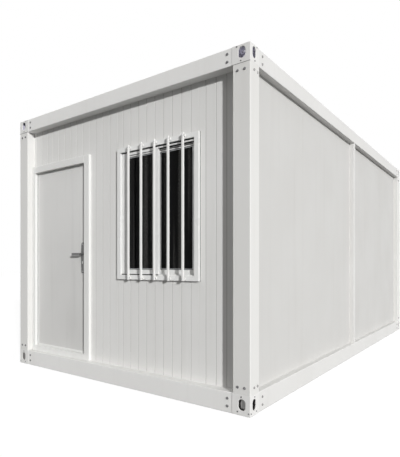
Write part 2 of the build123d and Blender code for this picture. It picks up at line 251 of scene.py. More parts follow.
def film_faced_board(name, film, rubbed):
    """Brown resin film with a fine grain along the cabin and pale rubbed patches."""
    material, tree, place = new_finish(name)
    grain = noise(tree, place, scale=30.0, detail=6.0, stretch=(1.0, 0.06, 1.0))
    rub = spread(tree, noise(tree, place, scale=2.2, detail=5.0), (0.45, 0.75), (0.0, 0.6))
    grain_share = 0.4
    share = math_on(tree, "ADD", math_on(tree, "MULTIPLY", grain, grain_share), rub)
    lay_coat(tree, {
        "Base Color": blend(tree, share, film, rubbed),
        "Roughness": spread(tree, grain, (0.3, 0.7), (0.45, 0.65)),
        "Normal": emboss(tree, grain, strength=0.2, depth=0.0008),
    })
    return material


board = film_faced_board("brown floor board", (0.16, 0.10, 0.065, 1.0), (0.33, 0.24, 0.17, 1.0))
finish_nodes(board, "floor_board")

# Corner posts, mid posts, top castings and roof beams: the upright part of the bolted frame.
# Posts are bent from sheet with returns for the walls, and all is sprayed white like the floor frame.
finish_nodes(frame_paint, "roof_beam_front", "roof_beam_rear")
finish_nodes(long_beam_paint, "roof_beam_left", "roof_beam_right")
# painted shade: the mid posts take a darker copy of the frame white, for the shade on their faces
mid_post_shaded_white = (0.69, 0.685, 0.67, 1.0)
mid_post_dust = (0.60, 0.59, 0.57, 1.0)
mid_post_paint = sprayed_paint("white mid post paint", mid_post_shaded_white, mid_post_dust, roughness=0.38)
finish_nodes(mid_post_paint, "mid_post")
post_white = (0.73, 0.725, 0.705, 1.0)
post_dust = (0.66, 0.65, 0.625, 1.0)
post_paint = sprayed_paint("white post paint", post_white, post_dust, foot_soil=0.15)
finish_nodes(post_paint, "corner_post")
# painted light: the inner faces of the top castings take a pale lavender for the sky light that falls in
# through the holes
painted_sky_lavender = (0.87, 0.86, 0.93, 1.0)
top_paint = sprayed_paint(
    "white top casting paint",
    casting_white,
    casting_dust,
    foot_soil=0.0,
    painted_light_coat=(painted_sky_lavender, inside_casting),
)
finish_nodes(top_paint, "top_casting")
ease_edges(casting_edge_radius, "top_casting")

# Corner seams: a bead of grey sealant where each top casting stands on its post.
# Pressed out of the joint as the bolts are pulled tight, and wiped off flush with a finger.


def new_tree(name, inputs, output):
    """A new tree with named inputs, each with its kind of socket, and one output."""
    tree = bpy.data.node_groups.new(name, "GeometryNodeTree")
    for label, kind in inputs.items():
        tree.interface.new_socket(label, in_out="INPUT", socket_type="NodeSocket" + kind)
    tree.interface.new_socket(output, in_out="OUTPUT", socket_type="NodeSocketGeometry")
    return tree, add_node(tree, "NodeGroupInput").outputs


def end_tree(tree, copies, finish, label):
    """Makes the copies real, gives them their finish and leads them out of the tree."""
    real = add_node(tree, "GeometryNodeRealizeInstances", {"Geometry": copies}).outputs["Geometry"]
    coated = add_node(tree, "GeometryNodeSetMaterial", {"Geometry": real, "Material": finish})
    add_node(tree, "NodeGroupOutput", {label: coated.outputs["Geometry"]})


def round_line(tree, sides, radius):
    """A circle of straight sides, as a curve."""
    sizes = {"Resolution": sides, "Radius": radius}
    return add_node(tree, "GeometryNodeCurvePrimitiveCircle", sizes).outputs["Curve"]


def swept(tree, line, section, caps):
    """The surface that a section leaves along a line, with or without end caps."""
    sweep = {"Curve": line, "Profile Curve": section, "Fill Caps": caps}
    return add_node(tree, "GeometryNodeCurveToMesh", sweep).outputs["Mesh"]


def bead_tree(name):
    """A tree that lays a round bead along each line of a mesh."""
    inputs = {"Lines": "Geometry", "Radius": "Float", "Finish": "Material"}
    tree, given = new_tree(name, inputs, "Beads")
    line = add_node(tree, "GeometryNodeMeshToCurve", {"Mesh": given["Lines"]}).outputs["Curve"]
    beads = swept(tree, line, round_line(tree, sides=8, radius=given["Radius"]), caps=True)
    end_tree(tree, beads, given["Finish"], "Beads")
    return tree


def new_piece(name, data):
    """A new object at the origin, in the scene."""
    piece = bpy.data.objects.new(name, data)
    bpy.context.scene.collection.objects.link(piece)
    return piece


def line_piece(name, lines):
    """A piece of bare lines, for a tree to build on; a line that ends where it starts is closed."""
    points = []
    edges = []
    for line in lines:
        closed = line[0] == line[-1]
        first = len(points)
        points += line[:-1] if closed else line
        edges += [(number, number + 1) for number in range(first, len(points) - 1)]
        if closed:
            edges.append((len(points) - 1, first))
    mesh = bpy.data.meshes.new(name)
    mesh.from_pydata(points, edges, [])
    return new_piece(name, mesh)


def grow(piece, tree, values):
    """Runs a tree on a piece with its named inputs set, and keeps the result as the piece's own mesh."""
    modifier = piece.modifiers.new(tree.name, "NODES")
    modifier.node_group = tree
    for item in tree.interface.items_tree:
        if item.in_out == "INPUT" and item.name in values:
            modifier[item.identifier] = values[item.name]
    bpy.context.view_layer.update()
    grown = piece.evaluated_get(bpy.context.evaluated_depsgraph_get())
    mesh = bpy.data.meshes.new_from_object(grown)
    piece.modifiers.remove(modifier)
    piece.data = mesh


def face_outwards(piece):
    """Merges a piece's doubles and turns its faces outwards."""
    shell = bmesh.new()
    shell.from_mesh(piece.data)
    bmesh.ops.remove_doubles(shell, verts=shell.verts, dist=0.00001)
    bmesh.ops.recalc_face_normals(shell, faces=shell.faces)
    shell.to_mesh(piece.data)
    shell.free()


def ride_on(piece, body):
    """Lets a finished piece move with a body."""
    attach(piece, body)


def soft_rubber(name, dark, chalky):
    """Rubber or sealant: dull, slightly uneven and chalky in patches."""
    material, tree, place = new_finish(name)
    chalk = spread(tree, noise(tree, place, scale=35.0, detail=4.0), (0.4, 0.75))
    lay_coat(tree, {
        "Base Color": blend(tree, chalk, dark, chalky),
        "Roughness": spread(tree, chalk, (0.0, 1.0), (0.55, 0.8)),
        "Normal": emboss(tree, chalk, strength=0.15, depth=0.0004),
    })
    return material


sealant = soft_rubber("grey sealant", (0.16, 0.16, 0.155, 1.0), (0.24, 0.24, 0.23, 1.0))
seam_radius = 0.0022
seam_lines = []
for end in ("front", "rear"):
    for side in ("left", "right"):
        post_low, post_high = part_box(f"corner_post_{end}_{side}")
        outer_x, inner_x = (post_low.x, post_high.x) if side == "left" else (post_high.x, post_low.x)
        outer_y = post_low.y if end == "front" else post_high.y
        seam_lines.append([(inner_x, outer_y, post_high.z), (outer_x, outer_y, post_high.z)])
corner_seams = line_piece("corner_seams", seam_lines)
sealant_beads = bead_tree("sealant beads")
grow(corner_seams, sealant_beads, {"Radius": seam_radius, "Finish": sealant})
face_outwards(corner_seams)
ride_on(corner_seams, "cabin")

# Casting webs and pin sleeves: the stiffeners inside the hollow castings, of steel with painted light:
# lavender for sky light in the top castings and dark grey for shade in the bottom ones.
# A plate stands on the diagonal behind each outer edge, and a short tube is welded under
# each top pin hole.


def point_piece(name, places, directions=()):
    """A piece of bare points, each with its own direction where that is given, for a tree to build on."""
    mesh = bpy.data.meshes.new(name)
    mesh.from_pydata(places, [], [])
    if directions:
        own = mesh.attributes.new("direction", "FLOAT_VECTOR", "POINT")
        for item, direction in zip(own.data, directions):
            item.vector = direction
    return new_piece(name, mesh)


def own_direction(tree):
    """The direction that each point of a piece carries."""
    label = {"Name": "direction"}
    stored = add_node(tree, "GeometryNodeInputNamedAttribute", label, data_type="FLOAT_VECTOR")
    return pick(stored.outputs, "Attribute")


def copy_to(tree, points, shape, **turn):
    """Copies of a shape, one on each point, turned where a rotation is given."""
    values = {"Points": points, "Instance": shape, **turn}
    return add_node(tree, "GeometryNodeInstanceOnPoints", values).outputs["Instances"]


def shift_up(tree, shape, rise):
    """A shape moved upwards by a rise."""
    offset = add_node(tree, "ShaderNodeCombineXYZ", {"Z": rise}).outputs["Vector"]
    moved = add_node(tree, "GeometryNodeTransform", {"Geometry": shape, "Translation": offset})
    return moved.outputs["Geometry"]


def oblong(tree, width, height):
    """A rectangle, as a curve."""
    sizes = {"Width": width, "Height": height}
    return add_node(tree, "GeometryNodeCurvePrimitiveQuadrilateral", sizes).outputs["Curve"]


def plate_tree(name):
    """A tree that stands an upright plate on each point, along the point's own direction."""
    inputs = {"Seats": "Geometry", "Size": "Vector", "Finish": "Material"}
    tree, given = new_tree(name, inputs, "Plates")
    plate = add_node(tree, "GeometryNodeMeshCube", {"Size": given["Size"]}).outputs["Mesh"]
    aim = {"Vector": own_direction(tree)}
    turned = add_node(tree, "FunctionNodeAlignRotationToVector", aim, axis="X", pivot_axis="Z")
    plates = copy_to(tree, given["Seats"], plate, Rotation=turned.outputs["Rotation"])
    end_tree(tree, plates, given["Finish"], "Plates")
    return tree


def sleeve_tree(name):
    """A tree that hangs a short tube under each point."""
    sizes = {label: "Float" for label in ("Bore", "Wall", "Length")}
    tree, given = new_tree(name, {"Seats": "Geometry", **sizes, "Finish": "Material"}, "Sleeves")
    middle = math_on(tree, "MULTIPLY", math_on(tree, "ADD", given["Bore"], given["Wall"]), 0.5)
    section = oblong(tree, given["Wall"], given["Length"])
    tube = swept(tree, round_line(tree, sides=32, radius=middle), section, caps=False)
    hung = shift_up(tree, tube, math_on(tree, "MULTIPLY", given["Length"], -0.5))
    end_tree(tree, copy_to(tree, given["Seats"], hung), given["Finish"], "Sleeves")
    return tree


web_reach = 0.046
web_thickness = 0.005
web_length = (web_reach - casting_wall) * math.sqrt(2)
web_inset = (web_reach + casting_wall) / 2
web_plates = plate_tree("web plates")
# painted light: the top webs are lavender for the sky light in the hollow, the bottom webs dark grey for
# its shade
web_light_and_shade = {
    "top": ((0.46, 0.45, 0.52, 1.0), (0.40, 0.39, 0.45, 1.0)),
    "bottom": ((0.19, 0.185, 0.18, 1.0), (0.15, 0.145, 0.14, 1.0)),
}
corners = [(x, y) for x in (-1, 1) for y in (-1, 1)]
for end, (grey, dust) in web_light_and_shade.items():
    light_and_shade_coat = sprayed_paint(f"grey {end} web primer", grey, dust, roughness=0.45, foot_soil=0.0)
    casting_low, casting_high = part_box(f"{end}_casting_front_right")
    level = (casting_low.z + casting_high.z) / 2
    places = [(x * (cabin_high.x - web_inset), y * (cabin_high.y - web_inset), level) for x, y in corners]
    webs = point_piece(f"{end}_casting_webs", places, [(x, y, 0.0) for x, y in corners])
    web_size = (web_length, web_thickness, casting_high.z - casting_low.z - 2 * casting_wall)
    grow(webs, web_plates, {"Size": web_size, "Finish": light_and_shade_coat})
    ride_on(webs, "cabin")

pin_inset = 0.080
sleeve_sizes = {"Bore": 0.044, "Wall": 0.004, "Length": 0.020}
sleeve_top = cabin_high.z - casting_wall
pin_x = cabin_high.x - pin_inset
pin_y = cabin_high.y - pin_inset
places = [(x * pin_x, y * pin_y, sleeve_top) for x, y in corners]
sleeves = point_piece("pin_sleeves", places)
grow(sleeves, sleeve_tree("pin sleeves"), {**sleeve_sizes, "Finish": top_paint})
face_outwards(sleeves)
ride_on(sleeves, "cabin")

# Frame bolts: pairs of hexagon bolts with washers, where posts and beams meet the castings.
# Dark steel on the ends and paler plated steel on the long sides, so tightened that no two
# heads stand alike.


def prism(tree, sides, bottom, top, height, rise):
    """A straight or tapered prism that starts a rise above the seat."""
    sizes = {"Vertices": sides, "Radius Bottom": bottom, "Radius Top": top, "Depth": height}
    return shift_up(tree, add_node(tree, "GeometryNodeMeshCone", sizes).outputs["Mesh"], rise)


def bolt_tree(name, head_sides):
    """A tree that sets a washer and a crowned head on each point, square to the point's own direction."""
    labels = ("Head Width", "Head Height", "Washer Width", "Washer Height")
    sizes = {label: "Float" for label in labels}
    inputs = {"Seats": "Geometry", **sizes, "Finish": "Material", "Seed": "Int"}
    tree, given = new_tree(name, inputs, "Fixings")
    crown_share = 0.78
    shank_share = 0.7
    washer_sides = 20
    washer_radius = math_on(tree, "MULTIPLY", given["Washer Width"], 0.5)
    head_radius = math_on(tree, "MULTIPLY", given["Head Width"], 0.5)
    crown_radius = math_on(tree, "MULTIPLY", head_radius, crown_share)
    shank = math_on(tree, "MULTIPLY", given["Head Height"], shank_share)
    crown = math_on(tree, "SUBTRACT", given["Head Height"], shank)
    crown_rise = math_on(tree, "ADD", given["Washer Height"], shank)
    bolt = add_node(tree, "GeometryNodeJoinGeometry")
    for shape in (
        prism(tree, washer_sides, washer_radius, washer_radius, given["Washer Height"], 0.0),
        prism(tree, head_sides, head_radius, head_radius, shank, given["Washer Height"]),
        prism(tree, head_sides, head_radius, crown_radius, crown, crown_rise),
    ):
        tree.links.new(shape, bolt.inputs["Geometry"])
    aim = {"Vector": own_direction(tree)}
    square = add_node(tree, "FunctionNodeAlignRotationToVector", aim, axis="Z")
    one_side = {"Min": 0.0, "Max": math.tau / head_sides, "Seed": given["Seed"]}
    turn = pick(add_node(tree, "FunctionNodeRandomValue", one_side, data_type="FLOAT").outputs, "Value")
    spin = add_node(tree, "FunctionNodeAxisAngleToRotation", {"Axis": (0, 0, 1), "Angle": turn})
    turned = add_node(
        tree,
        "FunctionNodeRotateRotation",
        {"Rotation": square.outputs["Rotation"], "Rotate By": spin.outputs["Rotation"]},
        rotation_space="LOCAL",
    )
    fixings = copy_to(
        tree, given["Seats"], bolt.outputs["Geometry"], Rotation=turned.outputs["Rotation"]
    )
    end_tree(tree, fixings, given["Finish"], "Fixings")
    return tree


def set_fixings(name, seats, tree, sizes, finish, seed, body):
    """Sets one fixing on each seat, which is a place and the direction that the head looks to."""
    piece = point_piece(name, *zip(*seats))
    grow(piece, tree, {**sizes, "Finish": finish, "Seed": seed})
    ride_on(piece, body)


def black_steel(name, dark, worn):
    """Blackened or powder-coated steel: fine grain, with the high patches rubbed paler."""
    material, tree, place = new_finish(name)
    rub = spread(tree, noise(tree, place, scale=90.0, detail=4.0), (0.45, 0.75))
    grain = noise(tree, place, scale=900.0, detail=2.0)
    lay_coat(tree, {
        "Base Color": blend(tree, rub, dark, worn),
        "Roughness": spread(tree, rub, (0.0, 1.0), (0.5, 0.36)),
        "Normal": emboss(tree, grain, strength=0.15, depth=0.0003),
        "Metallic": 0.4,
    })
    return material


bolt_steel = black_steel("grey bolt steel", (0.13, 0.13, 0.135, 1.0), (0.26, 0.26, 0.265, 1.0))
side_bolt_steel = black_steel("pale bolt steel", (0.30, 0.295, 0.29, 1.0), (0.44, 0.435, 0.43, 1.0))
bolt_sizes = {"Head Width": 0.0175, "Head Height": 0.006, "Washer Width": 0.0225, "Washer Height": 0.0016}
bolt_from_beam_end = 0.040
side_bolt_from_beam_end = 0.062
beam_bolt_gap = 0.062
post_bolts_from_edge = (0.048, 0.108)
side_post_bolts_from_edge = (0.066, 0.128)
post_bolt_from_casting = 0.054
bolt_seats = []
side_bolt_seats = []
for up, beam in ((1, "roof_beam"), (-1, "floor_beam")):
    end_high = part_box(beam + "_rear")[1]
    side_low, side_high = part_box(beam + "_right")
    beam_middle = (side_low.z + side_high.z) / 2
    casting_level = side_low.z if up > 0 else side_high.z
    post_level = casting_level - up * post_bolt_from_casting
    for end in (-1, 1):
        for side in (-1, 1):
            for step in (-0.5, 0.5):
                level = beam_middle + step * beam_bolt_gap
                across = side * (end_high.x - bolt_from_beam_end)
                along = end * (side_high.y - side_bolt_from_beam_end)
                bolt_seats.append(((across, end * end_high.y, level), (0, end, 0)))
                side_bolt_seats.append(((side * side_high.x, along, level), (side, 0, 0)))
            for inset in post_bolts_from_edge:
                across = side * (cabin_high.x - inset)
                bolt_seats.append(((across, end * cabin_high.y, post_level), (0, end, 0)))
            for inset in side_post_bolts_from_edge:
                along = end * (cabin_high.y - inset)
                side_bolt_seats.append(((side * cabin_high.x, along, post_level), (side, 0, 0)))
hexagon_bolts = bolt_tree("hexagon bolts", head_sides=6)
set_fixings("frame_bolts", bolt_seats, hexagon_bolts, bolt_sizes, bolt_steel, seed=4, body="cabin")
set_fixings(
    "side_bolts", side_bolt_seats, hexagon_bolts, bolt_sizes, side_bolt_steel, seed=6, body="cabin"
)

# Casting screws: small round-headed screws that pin the wall plates of each casting.
# Dark steel like the bolts of the ends, and a little over half their size.
casting_screws = {
    "top_casting": ((0.080, 0.127), (0.115, 0.010)),
    "bottom_casting": ((0.076, 0.019), (0.108, 0.138), (0.014, 0.138)),
}
screw_sizes = {"Head Width": 0.010, "Head Height": 0.003, "Washer Width": 0.012, "Washer Height": 0.0008}
screw_seats = []
for casting, insets_and_drops in casting_screws.items():
    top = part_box(casting + "_front_right")[1].z
    for end in (-1, 1):
        for side in (-1, 1):
            for inset, drop in insets_and_drops:
                across = side * (cabin_high.x - inset)
                along = end * (cabin_high.y - inset)
                screw_seats.append(((across, end * cabin_high.y, top - drop), (0, end, 0)))
                screw_seats.append(((side * cabin_high.x, along, top - drop), (side, 0, 0)))
round_screws = bolt_tree("round screws", head_sides=14)
set_fixings("casting_screws", screw_seats, round_screws, screw_sizes, bolt_steel, seed=7, body="cabin")

# Roof: a ribbed steel sheet in the gutter between the roof beams, and boards under it.
# The sheet is coated white like the frame; the ceiling boards have a matt white face.
roof_white = (0.78, 0.785, 0.775, 1.0)
roof_dust = (0.58, 0.57, 0.53, 1.0)
roof_coating = sprayed_paint("white roof coating", roof_white, roof_dust, roughness=0.42, foot_soil=0.0)
finish_nodes(roof_coating, "roof_sheet")
ceiling_white = (0.80, 0.80, 0.79, 1.0)
ceiling_dust = (0.72, 0.72, 0.70, 1.0)
ceiling_face = sprayed_paint(
    "matt ceiling white", ceiling_white, ceiling_dust, roughness=0.62, foot_soil=0.0
)
finish_nodes(ceiling_face, "ceiling")

# Roof screws: self-drilling hexagon screws that hold the sheet to the gutter ledges.
# Zinc-plated steel on wide sealing washers, two between each pair of ribs on both long edges.
roof_screw_edge = 0.018
roof_screw_pitch = 0.225
roof_screw_sizes = {
    "Head Width": 0.0095,
    "Head Height": 0.006,
    "Washer Width": 0.019,
    "Washer Height": 0.0025,
}
roof_sheet_thickness = 0.002
roof_low, roof_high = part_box("roof_sheet")
flat_top = roof_low.z + roof_sheet_thickness
screw_count = int((roof_high.y - roof_low.y) // roof_screw_pitch)
roof_seats = []
for number in range(screw_count):
    along = (number - (screw_count - 1) / 2) * roof_screw_pitch
    for side in (-1, 1):
        roof_seats.append(((side * (roof_high.x - roof_screw_edge), along, flat_top), (0, 0, 1)))
set_fixings("roof_screws", roof_seats, hexagon_bolts, roof_screw_sizes, zinc, seed=11, body="cabin")

# Walls: sandwich panels that stand between the floor beam and the roof beam.
# Two skins of coated sheet steel on an insulating core, rolled with fine grooves on the ends.
groove_start = (0.0011, 0.0016)
groove_end = (0.003, 0.004)


def groove_floors(face):
    """A test for the floors of the grooves in the end walls, whose faces stand so far from the middle,
    where painted shade goes.
    """

    def on_floor(tree, axes):
        depth = depth_behind(tree, axes["Y"], face)
        past_face = spread(tree, depth, groove_start)
        short_of_core = spread(tree, depth, groove_end, (1.0, 0.0))
        return math_on(tree, "MULTIPLY", past_face, short_of_core)

    return on_floor


panel_white = (0.745, 0.74, 0.725, 1.0)
panel_dust = (0.65, 0.645, 0.62, 1.0)
# painted shade: the floors of the grooves in the end walls are darker, for the shadow that falls into
# them
groove_shade = (0.55, 0.545, 0.53, 1.0)
wall_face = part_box("front_wall_pier")[0].y
for wall, face in (("front_wall", -wall_face), ("rear_wall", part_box("rear_wall")[1].y)):
    coating = sprayed_paint(
        "white coating of " + wall,
        panel_white,
        panel_dust,
        roughness=0.38,
        painted_light_coat=(groove_shade, groove_floors(face)),
    )
    finish_nodes(coating, wall)
# painted shade: the side walls take a darker copy of the end walls' white, against the stronger light on
# the sides
side_shaded_white = (0.60, 0.595, 0.58, 1.0)
side_dust = (0.545, 0.535, 0.515, 1.0)
side_coating = sprayed_paint("white side coating", side_shaded_white, side_dust, roughness=0.40)
finish_nodes(side_coating, "left_wall", "right_wall")

# Door: rebated frame, plain leaf, lift-off hinges and a lever on long plates.
# Pressed steel in white, with dark coated plates and lever, and steel hinges.
# painted shade: the leaf takes a darker white than its frame, for the shade of its recess behind the stop
door_shaded_white = (0.72, 0.715, 0.70, 1.0)
door_dust = (0.60, 0.595, 0.58, 1.0)
door_paint = sprayed_paint(
    "white door paint", door_shaded_white, door_dust, roughness=0.34, foot_soil=0.8, soil_top=2.0
)
finish_nodes(door_paint, "door_leaf")
trim_white = (0.77, 0.77, 0.755, 1.0)
trim_dust = (0.69, 0.685, 0.66, 1.0)
trim_paint = sprayed_paint(
    "white door frame paint", trim_white, trim_dust, roughness=0.34, foot_soil=0.15
)
finish_nodes(trim_paint, "door_jamb", "door_head", "door_threshold")
handle_coat = black_steel("dark handle coat", (0.13, 0.13, 0.13, 1.0), (0.22, 0.22, 0.218, 1.0))
finish_nodes(handle_coat, "door_handle_plates", "door_lever")
hinge_steel = galvanised("hinge steel", (0.58, 0.58, 0.58, 1.0), (0.50, 0.50, 0.50, 1.0))
finish_nodes(hinge_steel, "hinge")
door_edge_radius = 0.0025
door_pieces = ("door_handle_plates", "door_lever", "door_jamb", "door_head", "door_threshold")
ease_edges(door_edge_radius, *door_pieces)

# Door edge trim: the folded lip of the leaf's skins, which shows as a paler border on both faces.
# Roll-formed steel strip, pressed over the leaf's edge and sprayed with the door frame's coat.


def block_piece(name, blocks, ease, finish):
    """A piece of straight blocks, each given by its low and high corner, with eased edges."""
    shell = bmesh.new()
    for low, high in blocks:
        corner_points = bmesh.ops.create_cube(shell, size=1.0)["verts"]
        bmesh.ops.scale(shell, vec=Vector(high) - Vector(low), verts=corner_points)
        bmesh.ops.translate(shell, vec=(Vector(low) + Vector(high)) / 2, verts=corner_points)
    edges = shell.edges[:]
    bmesh.ops.bevel(shell, geom=edges, offset=ease, segments=2, profile=0.5, affect="EDGES")
    mesh = bpy.data.meshes.new(name)
    shell.to_mesh(mesh)
    shell.free()
    mesh.materials.append(finish)
    return new_piece(name, mesh)


def band(low, high, width):
    """The four blocks of a rectangular border that stands in a plane along X and Z."""
    left, near, bottom = low
    right, far, top = high
    return [
        ((left, near, bottom), (right, far, bottom + width)),
        ((left, near, top - width), (right, far, top)),
        ((left, near, bottom + width), (left + width, far, top - width)),
        ((right - width, near, bottom + width), (right, far, top - width)),
    ]


trim_width = 0.028
trim_thickness = 0.0012
trim_ease = 0.0004
leaf_low, leaf_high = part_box("door_leaf")
trim_blocks = []
for near in (leaf_low.y - trim_thickness, leaf_high.y):
    far = near + trim_thickness
    trim_blocks += band((leaf_low.x, near, leaf_low.z), (leaf_high.x, far, leaf_high.z), trim_width)
door_trim = block_piece("door_edge_trim", trim_blocks, trim_ease, trim_paint)
ride_on(door_trim, "door")

# Door seal: a rubber strip on the back of the stop, which the closed leaf presses.
# Extruded rubber on an adhesive back, run up both jambs and across the head, with a black lip on the lock
# side that paints the shade line beside the leaf.
rubber = soft_rubber("black rubber", (0.022, 0.022, 0.023, 1.0), (0.05, 0.05, 0.05, 1.0))
seal_width = 0.007
seal_shade_lip = 0.006
seal_thickness = 0.004
seal_ease = 0.0012
leaf_from_stop = 0.006
seal_near = leaf_low.y - leaf_from_stop
seal_far = seal_near + seal_thickness
left_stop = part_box("door_jamb_left")[1].x
right_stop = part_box("door_jamb_right")[0].x
head_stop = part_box("door_head")[0].z
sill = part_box("door_threshold")[1].z
left_seal = ((left_stop - seal_width, seal_near, sill), (left_stop, seal_far, head_stop))
right_seal = ((right_stop - seal_shade_lip, seal_near, sill), (right_stop + seal_width, seal_far, head_stop))
head_seal = (
    (left_stop - seal_width, seal_near, head_stop),
    (right_stop + seal_width, seal_far, head_stop + seal_width),
)
door_seal = block_piece("door_seal", [left_seal, right_seal, head_seal], seal_ease, rubber)
ride_on(door_seal, "cabin")

# Lock: a key cylinder through the handle plates, a face plate on the leaf's edge and a keep
# on the jamb. Turned and stamped steel, nickel plated, held by countersunk screws.
cylinder_drop = 0.085
cylinder_radius = 0.0085
cylinder_reach = 0.0045
barrel_sides = 20
tail_half_width = 0.005
tail_drop = 0.022
tail_start = -0.8
keyhole_half = (0.0011, 0.0045)
keyhole_rise = 0.0003
plate_low, plate_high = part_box("door_handle_plates")
joint_places = {joint["name"]: joint["pos_m"] for joint in frame["record"]["behaviour"]["joints"]}
spindle_x, _, spindle_z = joint_places["lever_turn"]
cylinder_z = spindle_z - cylinder_drop


def flat_solid(shell, outline, first_y, second_y, finish_number):
    """Adds the solid between two upright planes, whose outline is given round the lock's middle."""
    first, second = (
        [shell.verts.new((spindle_x + x, y, cylinder_z + z)) for x, z in outline]
        for y in (first_y, second_y)
    )
    faces = [shell.faces.new(first), shell.faces.new(second)]
    for number in range(len(outline)):
        before = number - 1
        faces.append(shell.faces.new((first[before], first[number], second[number], second[before])))
    for face in faces:
        face.material_index = finish_number


def key_cylinder(shell, face_y, outward):
    """Adds the round barrel of a lock with its tail, and a thin black plate for the keyhole's painted
    shade, on one face of the door.
    """
    turns = [math.tau * number / barrel_sides for number in range(barrel_sides // 2)]
    ring = [(math.sin(turn), math.cos(turn)) for turn in turns if math.cos(turn) > tail_start]
    right_half = [(x * cylinder_radius, z * cylinder_radius) for x, z in ring]
    right_half.append((tail_half_width, -tail_drop))
    left_half = [(-x, z) for x, z in reversed(right_half[1:])]
    rim = face_y + outward * cylinder_reach
    flat_solid(shell, right_half + left_half, face_y, rim, 0)
    # painted shade: the keyhole is a thin black plate on the barrel's face, not a cut slot
    half_width, half_height = keyhole_half
    keyhole = [(x * half_width, z * half_height) for x, z in ((-1, -1), (1, -1), (1, 1), (-1, 1))]
    flat_solid(shell, keyhole, rim, rim + outward * keyhole_rise, 1)


nickel = galvanised("nickel plate", (0.55, 0.55, 0.54, 1.0), (0.50, 0.50, 0.49, 1.0))
lock_shell = bmesh.new()
key_cylinder(lock_shell, plate_low.y, -1)
key_cylinder(lock_shell, plate_high.y, 1)
bmesh.ops.recalc_face_normals(lock_shell, faces=lock_shell.faces)
lock_mesh = bpy.data.meshes.new("key_cylinders")
lock_shell.to_mesh(lock_mesh)
lock_shell.free()
lock_mesh.materials.append(nickel)
lock_mesh.materials.append(rubber)
ride_on(new_piece("key_cylinders", lock_mesh), "door")


def edge_block(from_x, to_x, half, level):
    """A block in the gap beside the leaf, with its half depth and half height round a level."""
    half_depth, half_height = half
    low = (from_x, latch_y - half_depth, level - half_height)
    return low, (to_x, latch_y + half_depth, level + half_height)


face_plate_half = (0.010, 0.1175)
latch_half = (0.006, 0.009)
keep_half = (0.011, 0.100)
latch_reach = 0.0045
plate_skin = 0.0015
plate_ease = 0.0004
leaf_play = 0.008
latch_y = (leaf_low.y + leaf_high.y) / 2
lock_edge = [
    edge_block(leaf_high.x, leaf_high.x + plate_skin, face_plate_half, cylinder_z),
    edge_block(leaf_high.x, leaf_high.x + latch_reach, latch_half, spindle_z),
]
ride_on(block_piece("lock_face_plate", lock_edge, plate_ease, nickel), "door")
reveal_x = leaf_high.x + leaf_play
keep_block = [edge_block(reveal_x - plate_skin, reveal_x, keep_half, cylinder_z)]
ride_on(block_piece("lock_keep", keep_block, plate_ease, nickel), "cabin")

# Plate and hinge screws: low round heads in the handle plates and the hinge leaves.
# Small nickel-plated steel screws, driven down to the plate.
small_screw_sizes = {
    "Head Width": 0.0075,
    "Head Height": 0.0016,
    "Washer Width": 0.0085,
    "Washer Height": 0.0004,
}
plate_screw_inset = 0.020
plate_seats = []
for level in (plate_low.z + plate_screw_inset, plate_high.z - plate_screw_inset):
    for face_y, outward in ((plate_low.y, -1), (plate_high.y, 1)):
        plate_seats.append(((spindle_x, face_y, level), (0, outward, 0)))
set_fixings(
    "handle_plate_screws", plate_seats, round_screws, small_screw_sizes, nickel, seed=3, body="door"
)
hinge_height = 0.100
hinge_screw_inset = 0.012
hinge_screw_from_end = 0.020
hinge_skin = 0.003
hinge_face = leaf_high.y + hinge_skin
for half, side, body in (("frame", -1, "cabin"), ("door", 1, "door")):
    half_low, half_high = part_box(f"hinge_{half}_halves")
    outer_x = half_low.x if side < 0 else half_high.x
    across = outer_x - side * hinge_screw_inset
    hinge_seats = []
    for base in (half_low.z, half_high.z - hinge_height):
        for level in (base + hinge_screw_from_end, base + hinge_height - hinge_screw_from_end):
            hinge_seats.append(((across, hinge_face, level), (0, 1, 0)))
    screws = f"hinge_{half}_screws"
    set_fixings(screws, hinge_seats, round_screws, small_screw_sizes, nickel, seed=5, body=body)

# Window: a plastic frame lapped over the panel, with two sliding sashes and their panes.
# White extruded plastic, and grey-tinted glass that looks dark from outside.


def moulded_plastic(name, clean, aged):
    """White extruded plastic: smooth and even, slightly warmer in places."""
    material, tree, place = new_finish(name)
    cloud = noise(tree, place, scale=3.0, detail=3.0)
    fine = noise(tree, place, scale=400.0, detail=2.0)
    lay_coat(tree, {
        "Base Color": blend(tree, cloud, clean, aged),
        "Roughness": spread(tree, cloud, (0.3, 0.7), (0.24, 0.34)),
        "Normal": emboss(tree, fine, strength=0.05, depth=0.0004),
    })
    return material


def tinted_glass(name, tint, reflection_colour):
    """Dark tinted glass with upright streaks of painted reflection."""
    material, tree, place = new_finish(name)
    streak_noise = noise(tree, place, scale=16.0, detail=2.0, stretch=(1.0, 1.0, 0.02))
    reflection_streak = spread(tree, streak_noise, (0.50, 0.64))
    lay_coat(tree, {
        "Base Color": blend(tree, reflection_streak, tint, reflection_colour),
        "Roughness": spread(tree, reflection_streak, (0.0, 1.0), (0.02, 0.07)),
        "Transmission Weight": 0.8,
        "Specular IOR Level": 0.3,
        "IOR": 1.15,
    })
    return material


plastic_white = (0.785, 0.785, 0.775, 1.0)
plastic_aged = (0.75, 0.75, 0.735, 1.0)
window_white = moulded_plastic("white window plastic", plastic_white, plastic_aged)
finish_nodes(window_white, "window_frame", "window_sashes")
# painted reflection: the paler streak colour stands in for the bars mirrored in the panes
dark_glass = tinted_glass("dark tinted glass", (0.010, 0.010, 0.011, 1.0), (0.16, 0.155, 0.15, 1.0))
finish_nodes(dark_glass, "window_panes")

# Window seals: gaskets and thin zinc beads round the panes, pile strips in the tracks, a block against
# lifting, and a bead round the frame. Black rubber and woven pile are pressed into grooves of the
# plastic, and a bead of black sealant is run round the frame, black so that it paints the shade lines at
# its edges. Black strips on the sashes' top rails paint the shade under the frame's head.


